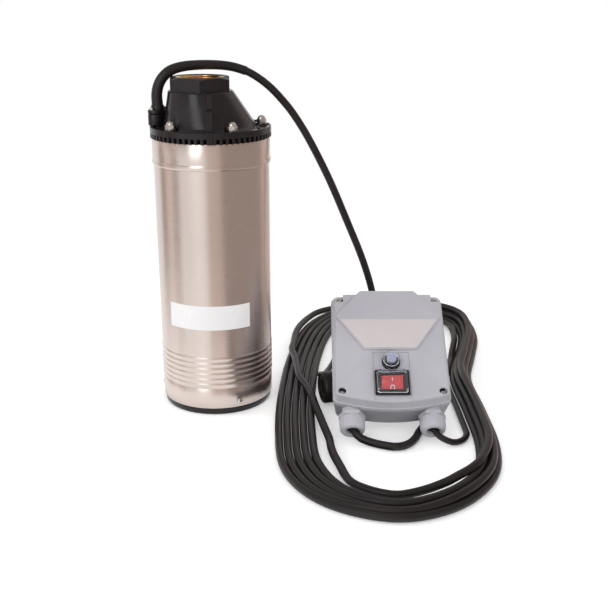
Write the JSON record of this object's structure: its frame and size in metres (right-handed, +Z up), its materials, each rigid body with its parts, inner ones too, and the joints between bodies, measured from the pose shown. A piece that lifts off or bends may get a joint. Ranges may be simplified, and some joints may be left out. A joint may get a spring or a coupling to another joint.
{
  "type": "borehole submersible pump",
  "caption": "Borehole submersible pump: steel barrel on a plastic foot, castellated intake ring, hexagonal threaded outlet, coiled cable, control box with rocker switch and cut-out button.",
  "frame": {"origin": "centre of the underside of the pump's foot, on the floor", "axes": "+Z up along the pump's shaft, +X from the pump to the control box, -Y towards the side with the switch"},
  "size_m": [0.4125, 0.6239, 0.3876],
  "materials": {
    "stainless": "drawn and rolled, satin",
    "bright_steel": "bright",
    "black_plastic": "satin moulded",
    "brass": "turned",
    "cast": "cast",
    "laminations": "stacked sheet",
    "copper_winding": "varnished winding",
    "noryl": "moulded",
    "rubber": "satin",
    "grey_plastic": "fine-grained moulded",
    "red_plastic": "translucent gloss",
    "clear_plastic": "clear gloss",
    "white_plastic": "gloss"
  },
  "bodies": {
    "pump_and_box": {"shell": "stainless", "foot": "black_plastic", "intake_ring": "black_plastic", "discharge_head": "black_plastic", "outlet_insert": "brass", "gland_plate": "black_plastic", "gland_screw_outer": "bright_steel", "gland_screw_inner": "bright_steel", "cable_boot": "rubber", "motor_can": "stainless", "lower_bracket": "cast", "upper_bracket": "cast", "bearing_lower": "bright_steel", "bearing_upper": "bright_steel", "stator_core": "laminations", "winding_lower": "copper_winding", "winding_upper": "copper_winding", "suction_plate": "noryl", "stage_casing": "stainless", "box_base": "grey_plastic", "box_cover": "grey_plastic", "gland_body_left": "grey_plastic", "gland_nut_left": "grey_plastic", "gland_body_right": "grey_plastic", "gland_nut_right": "grey_plastic", "switch_housing": "black_plastic", "switch_cap": "clear_plastic", "cutout_body": "black_plastic", "capacitor": "white_plastic", "motor_cable": "rubber", "cable_coil": "rubber", "motor_cable_tail": "rubber", "mains_lead": "rubber", "mains_tail": "rubber", "plug": "rubber", "foot_screw_1": "bright_steel", "diffuser_1": "noryl", "foot_screw_2": "bright_steel", "diffuser_2": "noryl", "foot_screw_3": "bright_steel", "diffuser_3": "noryl", "tie_bolt_1": "bright_steel", "tie_bolt_2": "bright_steel", "tie_bolt_3": "bright_steel", "tie_bolt_4": "bright_steel", "tie_bolt_5": "bright_steel", "cover_screw_1": "bright_steel", "cover_screw_2": "bright_steel", "cover_screw_3": "bright_steel", "cover_screw_4": "bright_steel"},
    "rotor": {"shaft": "bright_steel", "rotor_core": "laminations", "seal_ring": "rubber", "impeller_1": "noryl", "impeller_2": "noryl", "impeller_3": "noryl", "shaft_nut": "bright_steel"},
    "rocker": {"rocker": "red_plastic"},
    "reset_button": {"reset_button": "white_plastic", "reset_cap": "clear_plastic"}
  },
  "joints": [
    {"name": "rotor_spin", "type": "hinge", "parent": "pump_and_box", "child": "rotor", "pos_m": [0, 0, 0.1], "axis": [0, 0, 1], "continuous": true},
    {"name": "rocker_tilt", "type": "hinge", "parent": "pump_and_box", "child": "rocker", "pos_m": [0.1966, -0.10578, 0.05561], "axis": [1, 0, 0], "range_deg": [-22, 0]},
    {"name": "reset_press", "type": "slide", "parent": "pump_and_box", "child": "reset_button", "axis": [0, 0.5736, -0.8192], "range_m": [0, 0.003], "stiffness_N_per_m": 300}
  ]
}
